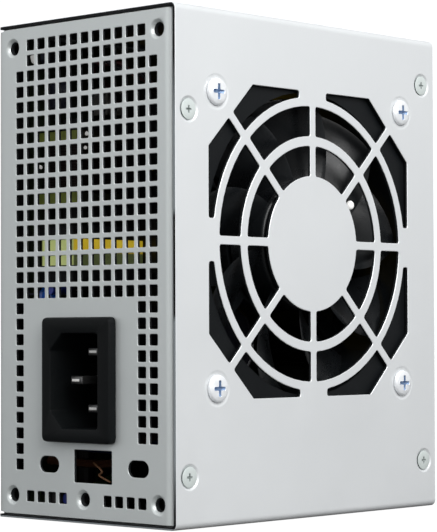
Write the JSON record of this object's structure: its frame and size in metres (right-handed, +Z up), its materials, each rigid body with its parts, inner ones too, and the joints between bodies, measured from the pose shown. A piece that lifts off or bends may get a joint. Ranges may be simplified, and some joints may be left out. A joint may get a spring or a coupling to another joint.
{
  "type": "power supply unit",
  "caption": "Small computer power supply in a folded steel case, with a fan behind a punched grille, a vent grid, a mains inlet and its board inside.",
  "frame": {"origin": "centre of the 63.5 x 100 mm face that the case stands on", "axes": "+X out of the fan face, -Y out of the mains-inlet panel, +Z up along the 125 mm side"},
  "size_m": [0.0645, 0.1042, 0.125],
  "materials": {
    "zinc_steel": "zinc plated, satin",
    "pale_steel": "plated, satin, paler than the base",
    "screw_steel": "bright zinc",
    "fan_plastic": "black, semi-gloss",
    "bronze": "sintered",
    "copper_winding": "enamelled copper wire",
    "inlet_plastic": "fine-textured black",
    "pin_metal": "nickel plated",
    "board": "solder resist on laminate",
    "film": "black insulation film",
    "heat_sink": "extruded",
    "chip_resin": "moulded black",
    "ferrite": "dark grey, matt",
    "yellow_tape": "polyester tape",
    "bobbin": "olive moulding",
    "capacitor_sleeve": "black sleeve",
    "film_capacitor": "yellow case",
    "blue_resin": "dipped blue resin",
    "fuse_ceramic": "ceramic",
    "brown_wire": "insulated",
    "blue_wire": "insulated",
    "green_yellow_wire": "insulated, striped",
    "white_nylon": "natural nylon",
    "grommet_rubber": "black, matt"
  },
  "bodies": {
    "case": {"base_shell": "zinc_steel", "cover_shell": "pale_steel", "cover_screw_1": "screw_steel", "cover_screw_2": "screw_steel", "cover_screw_3": "screw_steel", "cover_screw_4": "screw_steel", "fan_screw_1": "screw_steel", "fan_screw_2": "screw_steel", "fan_screw_3": "screw_steel", "fan_screw_4": "screw_steel", "fan_frame": "fan_plastic", "fan_bearing": "bronze", "fan_stator": "copper_winding", "inlet_housing": "inlet_plastic", "inlet_pin_line": "pin_metal", "inlet_pin_neutral": "pin_metal", "inlet_pin_earth": "pin_metal", "circuit_board": "board", "insulation_sheet": "film", "board_spacer_1": "screw_steel", "board_spacer_2": "screw_steel", "board_spacer_3": "screw_steel", "board_spacer_4": "screw_steel", "board_screw_1": "screw_steel", "board_screw_2": "screw_steel", "board_screw_3": "screw_steel", "board_screw_4": "screw_steel", "primary_heat_sink": "heat_sink", "secondary_heat_sink": "heat_sink", "switching_transistor": "chip_resin", "output_rectifier": "chip_resin", "bridge_rectifier": "chip_resin", "transformer_core": "ferrite", "transformer_winding": "yellow_tape", "standby_transformer_core": "ferrite", "standby_transformer_tape": "yellow_tape", "filter_choke_core": "ferrite", "filter_choke_bobbin": "bobbin", "filter_choke_winding": "copper_winding", "output_choke_core": "ferrite", "output_choke_winding": "copper_winding", "bulk_capacitor_1": "capacitor_sleeve", "bulk_capacitor_2": "capacitor_sleeve", "output_capacitor_1": "capacitor_sleeve", "output_capacitor_2": "capacitor_sleeve", "mains_film_capacitor": "film_capacitor", "disc_capacitor_1": "blue_resin", "disc_capacitor_2": "blue_resin", "mains_fuse": "fuse_ceramic", "earth_tab": "pin_metal", "line_wire": "brown_wire", "neutral_wire": "blue_wire", "earth_wire": "green_yellow_wire", "fan_lead": "fan_plastic", "fan_connector": "white_nylon", "cable_grommet": "grommet_rubber"},
    "rotor": {"fan_rotor": "fan_plastic", "fan_magnet_ring": "ferrite", "fan_shaft": "screw_steel"}
  },
  "joints": [
    {"name": "fan_spin", "type": "hinge", "parent": "case", "child": "rotor", "pos_m": [0.0245, 0, 0.0689], "axis": [1, 0, 0], "continuous": true}
  ]
}
